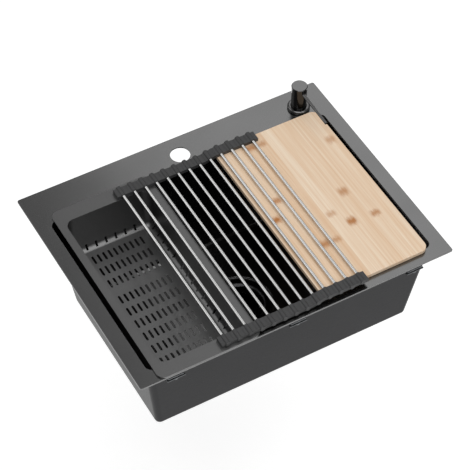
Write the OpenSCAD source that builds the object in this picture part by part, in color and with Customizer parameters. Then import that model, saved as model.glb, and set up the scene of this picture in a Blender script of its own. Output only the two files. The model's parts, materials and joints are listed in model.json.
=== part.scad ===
// Workstation kitchen sink: a flat steel deck with a tapered bowl, a basket
// strainer drain, a soap dispenser, and three pieces that lie across the bowl:
// a perforated colander, a bamboo board and a roll-up draining rack.
// Millimetres. +X is right, +Y is back, +Z is up. The origin is the middle of
// the deck's plan, on its underside, which is the plane that rests on a worktop.

/* [Deck] */
// Width of the bowl opening, left to right
opening_w = 528; // [480:1:620]
// Depth of the bowl opening, front to back
opening_d = 350; // [320:1:400]
// Radius of the opening's corners
opening_corner_r = 12; // [11:0.5:20]
// Width of the rim at each side of the opening
side_rim = 26; // [22:0.5:40]
// Width of the rim in front of the opening
front_rim = 25; // [25:0.5:30]
// Width of the rim behind the opening, which holds the tap and the dispenser
back_rim = 72; // [68:0.5:90]
// Thickness of the deck panel
deck_t = 3; // [2:0.5:4]
// Radius of the deck's outer corners
deck_corner_r = 4; // [2:0.5:12]
// Diameter of the tap hole
tap_hole_d = 35; // [30:0.5:36]
// Tap hole's centre behind the opening
tap_behind = 32; // [30:1:40]

/* [Bowl] */
// Outer depth of the bowl below the deck's underside
bowl_depth = 182; // [160:1:220]
// Thickness of the bowl's sheet
bowl_sheet = 1; // [0.8:0.1:1.5]
// How far each side wall leans in from the opening to the floor
side_lean = 21.5; // [14:0.5:34]
// How far the front wall leans in
front_lean = 18; // [12:0.5:30]
// How far the back wall leans in
back_lean = 27; // [12:0.5:40]
// Radius where the walls meet the floor
floor_edge_r = 10; // [8:0.5:12]
// Diameter of the pressed recess round the drain
recess_d = 122; // [118:1:130]
// Depth of the pressed recess
recess_depth = 3; // [2:0.5:5]
// Diameter of the drain hole in the floor
drain_hole_d = 90; // [89:0.5:92]
// Thickness of the sound pads under the floor
pad_t = 3; // [2:0.5:5]
// Width of one sound pad
pad_w = 130; // [80:1:140]
// Depth of one sound pad, front to back
pad_d = 200; // [120:1:250]
// Clear strip between the drain recess and a sound pad
pad_margin = 10; // [5:1:20]

/* [Rim clips] */
// Length of one rim clip
clip_len = 32; // [24:1:40]
// Depth of one rim clip, front to back
clip_d = 12; // [10:0.5:12]
// How far a rim clip hangs below the deck
clip_drop = 22; // [18:0.5:26]
// Thickness of a rim clip's strip
clip_sheet = 1.5; // [1:0.25:2]
// Rim clip to the deck's front or back edge
clip_inset = 8; // [6:0.5:9]
// Spacing of the rim clips along the deck
clip_pitch = 223; // [180:1:235]
// Spacing of the rim clips behind the bowl
back_clip_pitch = 150; // [130:1:155]
// Diameter of the clip screws
clip_screw_d = 5; // [4:0.5:6]
// Thickness of the claw on a clip screw
claw_t = 2; // [1.5:0.25:3]

/* [Drain] */
// Diameter of the strainer's flange
flange_d = 114; // [110:1:116]
// Thickness of the strainer's sheet
strainer_sheet = 1.2; // [1:0.1:1.5]
// Outer diameter of the strainer's cup
cup_d = 86; // [84:0.5:87]
// Depth of the strainer's cup below its seat
cup_depth = 48; // [44:1:60]
// Outer diameter of the outlet thread
outlet_d = 46; // [44:0.5:50]
// Length of the outlet thread
outlet_len = 22; // [20:1:30]
// Thickness of the rubber gasket under the floor
gasket_t = 3; // [2:0.5:5]
// Thickness of the fibre washer under the gasket
fibre_t = 1; // [0.5:0.25:2]
// Outer diameter of the large lock nut
locknut_d = 108; // [104:1:116]
// Height of the large lock nut
locknut_h = 10; // [8:0.5:14]
// Outer diameter of the tailpiece tube
tailpiece_d = 38; // [36:0.5:40]
// Wall of the tailpiece tube
tailpiece_wall = 1.5; // [1:0.1:2.5]
// Length of the tailpiece over its flange
tailpiece_len = 80; // [60:1:150]
// Wall of the coupling nut, between its thread and its flats
coupling_wall = 6; // [4:0.5:8]
// Diameter of the lift-out basket's rim
basket_d = 76; // [70:0.5:80]
// Height of the lift-out basket
basket_h = 30; // [26:0.5:34]
// Basket's rim below the strainer's seat
basket_drop = 7; // [5:0.5:10]
// Count of slots round the basket
basket_slots = 16; // [10:1:20]
// Width of one slot or hole in the basket
basket_slot_w = 4; // [2:0.5:5]
// Diameter of the basket's knob
knob_d = 18; // [14:0.5:24]

/* [Colander] */
// Width of the colander over its rim
colander_w = 184; // [160:1:220]
// Colander's left edge to the opening's left edge
colander_inside = 8; // [5:1:14]
// How far the colander's rim reaches behind the opening
colander_back_lap = 16; // [8:0.5:20]
// Height of the colander's folded rim
rim_h = 3; // [2.5:0.5:5]
// Thickness of the colander's sheet
colander_sheet = 1; // [0.8:0.1:1.2]
// Radius of the rim's corners
rim_corner_r = 14; // [8:0.5:20]
// Width of the rim at each side of the well
side_flange = 13; // [10:0.5:20]
// Gap between the well and the opening's front edge
well_front_gap = 2; // [1:0.5:4]
// Gap between the well and the opening's back edge
well_back_gap = 13; // [6:0.5:16]
// Depth of the well below the rim's top
well_drop = 79; // [60:1:100]
// How far each side wall leans in
well_side_lean = 2; // [1:0.5:8]
// How far the front and back walls lean in
well_end_lean = 7; // [2:0.5:10]
// Radius where the well's walls meet its floor
well_edge_r = 11; // [8:0.5:14]
// Radius of the well's upright corners
well_corner_r = 16; // [12:0.5:20]
// Width of one drain slot
slot_w = 4; // [2:0.5:5]
// Length of one floor slot
slot_len = 18; // [12:0.5:20]
// Spacing of the floor slots, left to right
slot_pitch_x = 10.15; // [8:0.05:13]
// Spacing of the floor slots, front to back
slot_pitch_y = 29.2; // [26:0.1:36]
// Columns of floor slots
slot_columns = 10; // [4:1:12]
// Rows of floor slots behind the plain band
slot_rows_back = 3; // [1:1:4]
// Plain strip left in front of the last row of slots
slot_front_plain = 24; // [16:0.5:40]
// Extra spacing at the plain band across the floor
slot_band = 10; // [0:1:20]
// Spacing of the slots round the well's lower edge
edge_slot_pitch = 18.3; // [14:0.1:24]
// Edge slots across the front and back walls
edge_slots_end = 6; // [2:1:7]
// Edge slots along each side wall behind the plain band
edge_slots_back = 5; // [1:1:5]

/* [Board] */
// Width of the bamboo board
board_w = 205; // [180:1:210]
// Thickness of the bamboo board
board_t = 8; // [7:0.5:9]
// Radius of the board's corners
board_corner_r = 14; // [6:0.5:20]
// Board's right edge to the opening's right edge
board_inside = 10.5; // [6:0.5:16]
// How far the board laps over the front rim
board_front_lap = 7.5; // [5:0.5:12]
// How far the board laps over the back rim
board_back_lap = 4.5; // [4:0.5:8]

/* [Rack] */
// Count of rods in the roll-up rack
rod_count = 13; // [11:1:14]
// Spacing of the rods
rod_pitch = 20.87; // [20:0.01:21.2]
// Diameter of one rod
rod_d = 5.4; // [4:0.1:6]
// How far the rack laps over the front rim
rack_front_lap = 20; // [12:0.5:22]
// How far the rack laps over the back rim
rack_back_lap = 8; // [6:0.5:12]
// Width of one end strip along the rods
strip_w = 20; // [16:0.5:24]
// Thickness of an end strip between the rods
strip_t = 6.5; // [6:0.1:7.5]
// Height of the strip's ridge over each rod, above the strip
ridge_h = 2.5; // [1.5:0.1:3]
// Silicone over the rod at a ridge
ridge_wall = 1.7; // [1.2:0.1:2]
// How far the strip is cut back between its ridges
ridge_step = 1.5; // [0.5:0.1:3]
// Solid end of the strip past the rod's end
rod_end_wall = 3; // [2:0.5:5]
// Gap between the top of the climbing link and the board's left edge
climb_gap = 3.3; // [1:0.1:8]
// Number of the rod whose link climbs onto the board
climbing_rod = 9; // [7:1:9]

/* [Soap dispenser] */
// Dispenser's axis to the deck's right edge
soap_from_right = 55; // [50:1:60]
// Dispenser's axis behind the opening
soap_behind = 30; // [28:1:40]
// Diameter of the dispenser's hole in the deck
soap_hole_d = 34; // [33:0.5:36]
// Diameter of the base ring
base_d = 40; // [38:0.5:46]
// Height of the base ring
base_h = 6; // [5:0.5:10]
// Diameter of the pump head
head_d = 27.4; // [26:0.2:28]
// Diameter of the pump head at its top
head_top_d = 28.4; // [26:0.2:30]
// Height of the head's top above the deck
head_top_z = 54; // [48:1:70]
// Wall of the pump head
head_wall = 2; // [1.5:0.25:2.5]
// Travel of the pump
pump_travel = 10; // [6:1:12]
// Wall of the threaded shank
shank_wall = 1.8; // [1.5:0.1:2]
// Length of the shank below the deck
shank_len = 48; // [44:1:60]
// Thickness of the rubber washer on the shank
soap_washer_t = 2; // [1:0.25:4]
// Height of the spout's axis above the deck, at the head
spout_z = 45; // [36:1:46]
// Reach of the spout past the head
spout_reach = 76; // [50:1:90]
// Outer diameter of the spout at the head
spout_d = 6; // [5:0.25:7]
// Outer diameter of the spout at its tip
spout_tip_d = 4.6; // [4:0.1:5]
// Bore of the spout
spout_bore = 3; // [2:0.25:3.5]
// Fall of the spout in degrees
spout_fall = 3; // [0:0.5:8]
// Diameter of the soap bottle
bottle_d = 60; // [50:1:60]
// Height of the soap bottle
bottle_h = 150; // [100:1:190]
// Wall of the soap bottle
bottle_wall = 1.5; // [1:0.25:2.5]
// How far the bottle's neck reaches up the shank
bottle_neck_h = 22; // [16:1:26]
// Wire of the pump's spring
spring_wire = 0.8; // [0.5:0.1:1.2]

/* [Clearances] */
// Gap under each piece that lies loose
rest_gap = 0.3; // [0.2:0.05:0.5]
// Radial gap of a sliding or turning fit
fit_gap = 0.06; // [0.04:0.01:0.1]
// Gap between a hinge nose and its cup
hinge_gap = 0.3; // [0.2:0.05:0.4]
// Radial gap round a piece in a drilled hole
hole_gap = 0.4; // [0.3:0.05:0.6]

/* [Hidden] */
$fn = 64;
hull_fn = 32;
cut = 1;
steel = [0.62, 0.63, 0.64];
dark_steel = [0.3, 0.3, 0.31];
rubber = [0.12, 0.12, 0.13];
silicone = [0.3, 0.3, 0.31];
bamboo = [0.89, 0.81, 0.69];
black = [0.06, 0.06, 0.07];
zinc = [0.55, 0.56, 0.58];
white = [0.85, 0.85, 0.83];

function two_digits(i) = i < 10 ? str("0", i) : str(i);
rod_nodes = [for (i = [1:rod_count]) str("rack_rod_", two_digits(i))];
cap_nodes = [for (i = [1:rod_count]) str("rack_caps_", two_digits(i))];

// Places in plan, from the deck's middle
deck_w = opening_w + 2 * side_rim;
deck_d = front_rim + opening_d + back_rim;
front_y = -deck_d / 2;
opening_front = front_y + front_rim;
opening_back = opening_front + opening_d;
opening_y = (opening_front + opening_back) / 2;
tap_y = opening_back + tap_behind;
soap_x = deck_w / 2 - soap_from_right;
soap_y = opening_back + soap_behind;

// Floor of the bowl, which lies a little in front of the opening's middle
floor_w = opening_w - 2 * side_lean;
floor_d = opening_d - front_lean - back_lean;
floor_forward = (back_lean - front_lean) / 2;

// Heights of the drain, from the strainer's seat in the recess down
seat_z = -(bowl_depth - bowl_sheet) - recess_depth;
under_floor_z = seat_z - bowl_sheet;
cup_floor_z = seat_z - cup_depth;
outlet_end_z = cup_floor_z - outlet_len;
tail_washer_t = 2;
tail_flange_t = 2;
tail_flange_r = outlet_d / 2 - hole_gap;
tail_top_z = outlet_end_z - tail_washer_t;

// Colander
colander_d = front_rim + opening_d + colander_back_lap;
colander_x = colander_inside + (colander_w - opening_w) / 2;
colander_y = front_y + colander_d / 2;
colander_z = deck_t + rest_gap;
well_w = colander_w - 2 * side_flange;
well_d = opening_d - well_front_gap - well_back_gap;
well_y = opening_front + well_front_gap + well_d / 2;
well_floor_z = colander_z + rim_h - well_drop;
well_floor_w = well_w - 2 * well_side_lean;
well_floor_d = well_d - 2 * well_end_lean;
slot_room = well_floor_d - 2 * well_edge_r - slot_band - slot_front_plain;
slot_rows = 1 + floor((slot_room - 1.5 * slot_len) / slot_pitch_y);
edge_slots_side = 1 + floor((slot_room - slot_pitch_y / 4) / edge_slot_pitch);

// Board
board_d = board_front_lap + opening_d + board_back_lap;
board_x = (opening_w - board_w) / 2 - board_inside;
board_left = board_x - board_w / 2;
board_y = opening_front - board_front_lap + board_d / 2;
board_z = deck_t + rest_gap;

// Rack: links of one pitch each, lying on the colander's rim, with one link
// that climbs to the board
nose_r = strip_t / 2;
ridge_r = rod_d / 2 + ridge_wall;
rod_z = nose_r + ridge_h - ridge_r;
rack_y = opening_front - rack_front_lap;
rack_len = rack_front_lap + opening_d + rack_back_lap;
low_z = colander_z + rim_h + rest_gap + nose_r;
high_z = board_z + board_t + rest_gap + nose_r;
climb = asin((high_z - low_z) / rod_pitch);
function tilt(i) = i == climbing_rod ? climb : 0;
climb_end_x = board_left - climb_gap;
climb_start_x = climb_end_x - rod_pitch * cos(climb);
function link_x(i) = i <= climbing_rod
    ? climb_start_x - (climbing_rod - i) * rod_pitch
    : climb_end_x + (i - climbing_rod - 1) * rod_pitch;
function link_z(i) = i <= climbing_rod ? low_z : high_z;

// Soap dispenser
soap_gasket_t = 1;
base_z = deck_t + soap_gasket_t;
head_r = head_d / 2;
shank_in_r = head_r + hole_gap;
shank_r = shank_in_r + shank_wall;
collar_t = 3;
collar_z = -12;
bottle_top_z = bottle_neck_h - shank_len;
ledge_w = 2;
cylinder_r = 7;
cylinder_wall = 1.4;
cylinder_end_z = -80;
stem_r = 3;
piston_z = -34;
piston_t = 6;
head_skirt_z = 5;
stem_top_z = deck_t + spout_z - spout_d / 2 - 2 * rest_gap;

// Shared shapes

// Flat rectangle with round corners, about the middle
module rounded_rect(w, d, r) {
    square([w - 2 * r, d], center = true);
    square([w, d - 2 * r], center = true);
    for (x = [-1, 1]) for (y = [-1, 1])
        translate([x * (w / 2 - r), y * (d / 2 - r)]) circle(r);
}

module rounded_plate(w, d, h, r) {
    linear_extrude(h) rounded_rect(w, d, r);
}

// Tray-shaped solid: an upright band at the top, walls that lean in, and a
// floor with round edges. Its floor lies at -depth.
module tray_solid(top_w, top_d, top_r, low_w, low_d, low_y, edge_r, depth, band) {
    hull($fn = hull_fn) {
        for (x = [-1, 1]) for (y = [-1, 1]) {
            translate([x * (top_w / 2 - top_r), y * (top_d / 2 - top_r), 0])
                cylinder(r = top_r, h = band, $fn = hull_fn);
            translate([x * (low_w / 2 - edge_r), low_y + y * (low_d / 2 - edge_r), edge_r - depth])
                sphere(r = edge_r, $fn = hull_fn);
        }
    }
}

// Flat ring that lies between two heights
module ring(inner_r, outer_r, low, high) {
    translate([0, 0, low]) difference() {
        cylinder(r = outer_r, h = high - low);
        translate([0, 0, -cut]) cylinder(r = inner_r, h = high - low + 2 * cut);
    }
}

// Slot with round ends, as a flat shape along Y
module slot_shape(w, l) {
    square([w, l - w], center = true);
    for (y = [-1, 1]) translate([0, y * (l - w) / 2]) circle(w / 2, $fn = 16);
}

// Sink shell

module deck_panel() {
    color(steel) difference() {
        rounded_plate(deck_w, deck_d, deck_t, deck_corner_r);
        translate([0, opening_y, -cut])
            rounded_plate(opening_w, opening_d, deck_t + 2 * cut, opening_corner_r);
        translate([0, tap_y, -cut]) cylinder(d = tap_hole_d, h = deck_t + 2 * cut);
        translate([soap_x, soap_y, -cut]) cylinder(d = soap_hole_d, h = deck_t + 2 * cut);
    }
}

module bowl() {
    inner_floor_r = floor_edge_r - bowl_sheet;
    color(steel) translate([0, opening_y, 0]) difference() {
        union() {
            translate([0, 0, -bowl_sheet]) tray_solid(
                opening_w + 2 * bowl_sheet, opening_d + 2 * bowl_sheet,
                opening_corner_r + bowl_sheet, floor_w, floor_d, -floor_forward,
                floor_edge_r, bowl_depth - bowl_sheet, bowl_sheet
            );
            translate([0, 0, under_floor_z])
                cylinder(d = recess_d + 2 * bowl_sheet, h = recess_depth + bowl_sheet);
        }
        tray_solid(
            opening_w, opening_d, opening_corner_r, floor_w - 2 * bowl_sheet,
            floor_d - 2 * bowl_sheet, -floor_forward, inner_floor_r,
            bowl_depth - bowl_sheet, cut
        );
        translate([0, 0, seat_z]) cylinder(d = recess_d, h = recess_depth + cut);
        translate([0, 0, under_floor_z - cut]) cylinder(d = drain_hole_d, h = recess_depth + 4 * cut);
    }
}

module sound_pads() {
    pad_x = recess_d / 2 + bowl_sheet + pad_margin + pad_w / 2;
    color(rubber) for (side = [-1, 1])
        translate([side * pad_x, opening_y - floor_forward, -bowl_depth - pad_t])
            rounded_plate(pad_w, pad_d, pad_t, pad_margin);
}

// Rim clips: three along the front rim, and three behind the bowl that leave
// the tap hole and the soap bottle free

module at_clips() {
    for (i = [-1:1]) {
        translate([i * clip_pitch, front_y + clip_inset, 0]) children();
        translate([(i - 0.5) * back_clip_pitch, deck_d / 2 - clip_inset, 0])
            rotate([0, 0, 180]) children();
    }
}

clip_screw_y = (clip_d - clip_sheet) / 2;
claw_top_z = -clip_drop + 3 * clip_sheet + claw_t;

module clip_bracket() {
    difference() {
        translate([-clip_len / 2, 0, -clip_drop]) cube([clip_len, clip_d, clip_drop]);
        translate([-clip_len / 2 - cut, -clip_sheet, clip_sheet - clip_drop])
            cube([clip_len + 2 * cut, clip_d, clip_drop - 2 * clip_sheet]);
        translate([0, clip_screw_y, -clip_drop - cut])
            cylinder(d = clip_screw_d + 2 * hole_gap, h = clip_sheet + 2 * cut);
    }
}

module clip_brackets() {
    color(zinc) at_clips() clip_bracket();
}

module clip_claws() {
    claw_w = clip_d - 2 * clip_sheet;
    color(zinc) at_clips() translate([0, clip_screw_y, claw_top_z - claw_t]) difference() {
        rounded_plate(clip_len - 2 * clip_sheet, claw_w, claw_t, clip_sheet);
        translate([0, 0, -cut]) cylinder(d = clip_screw_d + 2 * fit_gap, h = claw_t + 2 * cut);
    }
}

module clip_screws() {
    head_h = 0.7 * clip_screw_d;
    color(zinc) at_clips() translate([0, clip_screw_y, -clip_drop]) {
        translate([0, 0, -head_h]) difference() {
            cylinder(d = 1.8 * clip_screw_d, h = head_h);
            translate([-clip_screw_d, -clip_screw_d / 10, -cut])
                cube([2 * clip_screw_d, clip_screw_d / 5, cut + head_h / 2]);
        }
        cylinder(d = clip_screw_d, h = clip_drop - 3 * clip_sheet);
    }
}

// Drain, turned about the drain's axis with heights from the deck's underside

module at_drain() {
    translate([0, opening_y, 0]) children();
}

module strainer_body() {
    cup_r = cup_d / 2;
    outlet_r = outlet_d / 2;
    hole_r = drain_hole_d / 2;
    crown = 4;
    crown_h = 1.8 * strainer_sheet;
    outlet_in = outlet_r - 2 * strainer_sheet;
    color(steel) at_drain() translate([0, 0, seat_z]) rotate_extrude() polygon([
        [flange_d / 2, 0],
        [flange_d / 2, strainer_sheet / 2],
        [flange_d / 2 - crown, crown_h],
        [hole_r + crown, crown_h],
        [hole_r, strainer_sheet],
        [cup_r - strainer_sheet, -strainer_sheet],
        [cup_r - strainer_sheet, strainer_sheet - cup_depth],
        [outlet_in, strainer_sheet - cup_depth],
        [outlet_in, -cup_depth - outlet_len],
        [outlet_r, -cup_depth - outlet_len],
        [outlet_r, -cup_depth],
        [cup_r, -cup_depth],
        [cup_r, -2 * strainer_sheet],
        [hole_r, 0]
    ]);
}

module strainer_gasket() {
    color(rubber) at_drain()
        ring(drain_hole_d / 2, locknut_d / 2, under_floor_z - gasket_t, under_floor_z);
}

module fibre_washer() {
    top = under_floor_z - gasket_t;
    color(bamboo) at_drain() ring(cup_d / 2 + hole_gap, locknut_d / 2, top - fibre_t, top);
}

module lock_nut() {
    top = under_floor_z - gasket_t - fibre_t;
    lug_count = 8;
    lug_w = 12;
    color(zinc) at_drain() difference() {
        union() {
            translate([0, 0, top - locknut_h]) cylinder(d = locknut_d - lug_w, h = locknut_h);
            translate([0, 0, top - locknut_h / 3]) cylinder(d = locknut_d, h = locknut_h / 3);
            for (i = [0:lug_count - 1]) rotate([0, 0, i * 360 / lug_count])
                translate([locknut_d / 2 - lug_w, -lug_w / 2, top - locknut_h])
                    cube([lug_w - 1, lug_w, locknut_h - cut]);
        }
        translate([0, 0, top - locknut_h - cut])
            cylinder(d = cup_d + 2 * fit_gap, h = locknut_h + 2 * cut);
    }
}

// Lift-out basket: its rubber stopper stands on the cup's floor
basket_top_z = seat_z - basket_drop;
basket_floor_z = basket_top_z - basket_h;
stopper_low_z = cup_floor_z + strainer_sheet + rest_gap;

module basket() {
    rim_r = basket_d / 2;
    rim_fold = 3;
    wall_taper = 4;
    wall_top_r = rim_r - rim_fold;
    wall_low_r = wall_top_r - wall_taper;
    slot_low = 0.2 * basket_h;
    slot_h = 0.55 * basket_h;
    hole_count = 12;
    color(steel) at_drain() difference() {
        translate([0, 0, basket_floor_z]) rotate_extrude() polygon([
            [0, 0],
            [wall_low_r, 0],
            [wall_top_r, basket_h - strainer_sheet],
            [rim_r, basket_h - strainer_sheet],
            [rim_r, basket_h],
            [wall_top_r - strainer_sheet, basket_h],
            [wall_low_r - strainer_sheet, strainer_sheet],
            [0, strainer_sheet]
        ]);
        for (i = [0:basket_slots - 1]) rotate([0, 0, i * 360 / basket_slots])
            translate([wall_low_r / 2, -basket_slot_w / 2, basket_floor_z + slot_low])
                cube([rim_r, basket_slot_w, slot_h]);
        for (i = [0:hole_count - 1]) rotate([0, 0, i * 360 / hole_count])
            translate([wall_low_r * 0.7, 0, basket_floor_z - cut])
                cylinder(d = basket_slot_w, h = strainer_sheet + 2 * cut, $fn = 24);
    }
}

module basket_stopper() {
    neck_r = 10;
    seal_lap = 4;
    seal_r = outlet_d / 2 + seal_lap;
    height = basket_floor_z - stopper_low_z;
    color(rubber) at_drain() translate([0, 0, stopper_low_z]) rotate_extrude() polygon([
        [0, 0],
        [seal_r, 0],
        [seal_r, height / 4],
        [neck_r, height / 2],
        [neck_r, height],
        [0, height]
    ]);
}

module basket_knob() {
    post_r = 3;
    knob_h = 8;
    knob_round = 2;
    post_low_z = basket_floor_z + strainer_sheet;
    knob_low_z = seat_z - knob_h;
    color(steel) at_drain() rotate_extrude() {
        translate([0, post_low_z]) square([post_r, knob_low_z - post_low_z + cut]);
        translate([0, knob_low_z]) difference() {
            square([knob_d / 2, knob_h]);
            translate([knob_d / 2 - knob_round, knob_h - knob_round]) difference() {
                square(knob_round + cut);
                circle(knob_round);
            }
        }
    }
}

module tailpiece() {
    tube_r = tailpiece_d / 2;
    neck_r = tube_r - 0.4;
    neck_len = tail_flange_t + 4;
    color(steel) at_drain() difference() {
        union() {
            translate([0, 0, tail_top_z - tail_flange_t])
                cylinder(r = tail_flange_r, h = tail_flange_t);
            translate([0, 0, tail_top_z - tailpiece_len])
                cylinder(r = tube_r, h = tailpiece_len - neck_len);
            translate([0, 0, tail_top_z - neck_len - cut]) cylinder(r = neck_r, h = neck_len);
        }
        translate([0, 0, tail_top_z - tailpiece_len - cut])
            cylinder(r = tube_r - tailpiece_wall, h = tailpiece_len + 2 * cut);
    }
}

module tailpiece_washer() {
    color(white) at_drain()
        ring(tailpiece_d / 2 - tailpiece_wall, tail_flange_r, tail_top_z, tail_top_z + tail_washer_t);
}

module coupling_nut() {
    nut_r = outlet_d / 2 + coupling_wall;
    lip_t = 3;
    thread_cover = 0.6 * outlet_len;
    low = tail_top_z - tail_flange_t - lip_t;
    height = lip_t + tail_flange_t + tail_washer_t + thread_cover;
    color(zinc) at_drain() difference() {
        translate([0, 0, low]) cylinder(r = nut_r, h = height, $fn = 8);
        translate([0, 0, low - cut]) cylinder(d = tailpiece_d + 2 * hole_gap, h = lip_t + 2 * cut);
        translate([0, 0, low + lip_t]) cylinder(d = outlet_d + 2 * fit_gap, h = height);
    }
}

// Colander: one pressed tray with a folded rim and drain slots

module floor_slots() {
    first_y = well_floor_d / 2 - well_edge_r - slot_len;
    translate([0, 0, well_floor_z - colander_sheet - cut]) linear_extrude(colander_sheet + 2 * cut)
        for (row = [0:slot_rows - 1]) for (column = [0:slot_columns - 1])
            translate([
                (column - (slot_columns - 1) / 2) * slot_pitch_x,
                first_y - row * slot_pitch_y - (row < slot_rows_back ? 0 : slot_band)
            ]) slot_shape(slot_w, slot_len);
}

// Upright slots through the round edge between the walls and the floor
module edge_slots() {
    height = well_edge_r + 2;
    reach = well_edge_r + colander_sheet + cut;
    low = well_floor_z - colander_sheet - cut;
    first_y = well_floor_d / 2 - well_edge_r - slot_pitch_y / 4;
    for (end = [-1, 1]) for (i = [0:edge_slots_end - 1])
        translate([
            (i - (edge_slots_end - 1) / 2) * edge_slot_pitch - slot_w / 2,
            end * (well_floor_d / 2 - well_edge_r / 2 + reach / 2) - reach / 2,
            low
        ]) cube([slot_w, reach, height]);
    for (side = [-1, 1]) for (i = [0:edge_slots_side - 1])
        translate([
            side * (well_floor_w / 2 - well_edge_r / 2 + reach / 2) - reach / 2,
            first_y - i * edge_slot_pitch - (i < edge_slots_back ? 0 : slot_band),
            low
        ]) cube([reach, slot_w, height]);
}

module colander() {
    drop = well_drop - rim_h;
    color(dark_steel) difference() {
        union() {
            translate([colander_x, colander_y, colander_z]) difference() {
                rounded_plate(colander_w, colander_d, rim_h, rim_corner_r);
                translate([0, 0, -cut]) rounded_plate(
                    colander_w - 2 * colander_sheet, colander_d - 2 * colander_sheet,
                    rim_h - colander_sheet + cut, rim_corner_r - colander_sheet
                );
            }
            translate([colander_x, well_y, colander_z]) tray_solid(
                well_w + 2 * colander_sheet, well_d + 2 * colander_sheet,
                well_corner_r + colander_sheet, well_floor_w + 2 * colander_sheet,
                well_floor_d + 2 * colander_sheet, 0, well_edge_r + colander_sheet,
                drop + colander_sheet, rim_h
            );
        }
        translate([colander_x, well_y, colander_z]) tray_solid(
            well_w, well_d, well_corner_r, well_floor_w, well_floor_d, 0, well_edge_r,
            drop, rim_h + cut
        );
        translate([colander_x, well_y, 0]) {
            floor_slots();
            edge_slots();
        }
    }
}

module bamboo_board() {
    color(bamboo) translate([board_x, board_y, board_z])
        rounded_plate(board_w, board_d, board_t, board_corner_r);
}

// Roll-up rack. Each rod sits in two silicone end blocks. A block has a round
// nose that turns in the cup of the next block, so the rack can be rolled up.

module at_link(i) {
    translate([link_x(i), rack_y, link_z(i)]) rotate([0, -tilt(i), 0]) children();
}

module block_shape(i) {
    difference() {
        union() {
            translate([0, -nose_r]) square([rod_pitch, strip_t]);
            if (i < rod_count) translate([rod_pitch, 0]) circle(nose_r);
        }
        if (i > 1) circle(nose_r + hinge_gap);
    }
}

module ridge_shape() {
    translate([rod_pitch / 2, rod_z]) intersection() {
        circle(ridge_r);
        translate([-ridge_r - cut, -nose_r - rod_z]) square(2 * (ridge_r + cut));
    }
}

// One end block, from its outer face at y = 0 towards +Y
module end_block(i) {
    difference() {
        union() {
            translate([0, strip_w, 0]) rotate([90, 0, 0])
                linear_extrude(strip_w - ridge_step) block_shape(i);
            translate([0, strip_w, 0]) rotate([90, 0, 0]) linear_extrude(strip_w) ridge_shape();
        }
        translate([rod_pitch / 2, rod_end_wall, rod_z]) rotate([-90, 0, 0])
            cylinder(d = rod_d + 2 * fit_gap, h = strip_w);
    }
}

module rack_caps(i) {
    color(silicone) at_link(i) {
        end_block(i);
        translate([0, rack_len, 0]) mirror([0, 1, 0]) end_block(i);
    }
}

module rack_rod(i) {
    color(steel) at_link(i) translate([rod_pitch / 2, rod_end_wall, rod_z])
        rotate([-90, 0, 0]) cylinder(d = rod_d, h = rack_len - 2 * rod_end_wall);
}

// Soap dispenser, about its own axis

module at_soap() {
    translate([soap_x, soap_y, 0]) children();
}

module soap_base() {
    base_round = 0.6 * base_h;
    ledge_z = collar_z - collar_t;
    color(black) at_soap() rotate_extrude() {
        translate([shank_in_r, base_z]) difference() {
            square([base_d / 2 - shank_in_r, base_h]);
            translate([base_d / 2 - shank_in_r - base_round, base_h - base_round]) difference() {
                square(base_round + cut);
                circle(base_round);
            }
        }
        translate([shank_in_r, -shank_len]) square([shank_wall, shank_len + base_z + cut]);
        translate([shank_in_r - ledge_w, ledge_z - ledge_w]) square([ledge_w + cut, ledge_w]);
    }
}

module soap_gasket() {
    color(rubber) at_soap() ring(shank_r + hole_gap, base_d / 2 - soap_gasket_t, deck_t, base_z);
}

module soap_washer() {
    washer_lap = 4;
    color(rubber) at_soap()
        ring(shank_r + hole_gap, soap_hole_d / 2 + washer_lap, -soap_washer_t, 0);
}

module soap_nut() {
    nut_h = 10;
    nut_lap = 5;
    color(white) at_soap() translate([0, 0, -soap_washer_t - nut_h]) difference() {
        cylinder(r = soap_hole_d / 2 + nut_lap, h = nut_h, $fn = 6);
        translate([0, 0, -cut]) cylinder(r = shank_r + fit_gap, h = nut_h + 2 * cut);
    }
}

module soap_bottle() {
    neck_in = shank_r + fit_gap;
    neck_out = neck_in + bottle_wall;
    body_r = bottle_d / 2;
    shoulder_h = 12;
    neck_low = -bottle_neck_h - bottle_wall;
    shoulder_low = neck_low - shoulder_h;
    color(white) at_soap() translate([0, 0, bottle_top_z]) rotate_extrude() polygon([
        [neck_in, 0],
        [neck_out, 0],
        [neck_out, neck_low],
        [body_r, shoulder_low],
        [body_r, -bottle_h],
        [0, -bottle_h],
        [0, bottle_wall - bottle_h],
        [body_r - bottle_wall, bottle_wall - bottle_h],
        [body_r - bottle_wall, shoulder_low - bottle_wall],
        [neck_in, neck_low - bottle_wall]
    ]);
}

module pump_cylinder() {
    bore_r = cylinder_r - cylinder_wall;
    low = cylinder_end_z;
    color(white) at_soap() rotate_extrude() {
        translate([stem_r + hole_gap, collar_z - collar_t])
            square([shank_in_r - hole_gap - stem_r - hole_gap, collar_t]);
        translate([bore_r, low]) square([cylinder_wall, collar_z - low - cut]);
        translate([stem_r / 2, low]) square([bore_r - stem_r / 2 + cut, cylinder_wall]);
    }
}

module dip_tube() {
    end_gap = 5;
    low = bottle_top_z - bottle_h + bottle_wall + end_gap;
    color(white) at_soap() ring(stem_r / 2, stem_r, low, cylinder_end_z);
}

module pump_piston() {
    bore_r = cylinder_r - cylinder_wall;
    color(white) at_soap() rotate_extrude() {
        translate([stem_r / 2, piston_z]) square([stem_r / 2, stem_top_z - piston_z]);
        translate([stem_r / 2, piston_z]) square([bore_r - fit_gap - stem_r / 2, piston_t]);
    }
}

module pump_spring() {
    coil_r = cylinder_r - cylinder_wall - hole_gap;
    low = cylinder_end_z + cylinder_wall;
    color(steel) at_soap() ring(coil_r - spring_wire, coil_r, low, piston_z);
}

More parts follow.
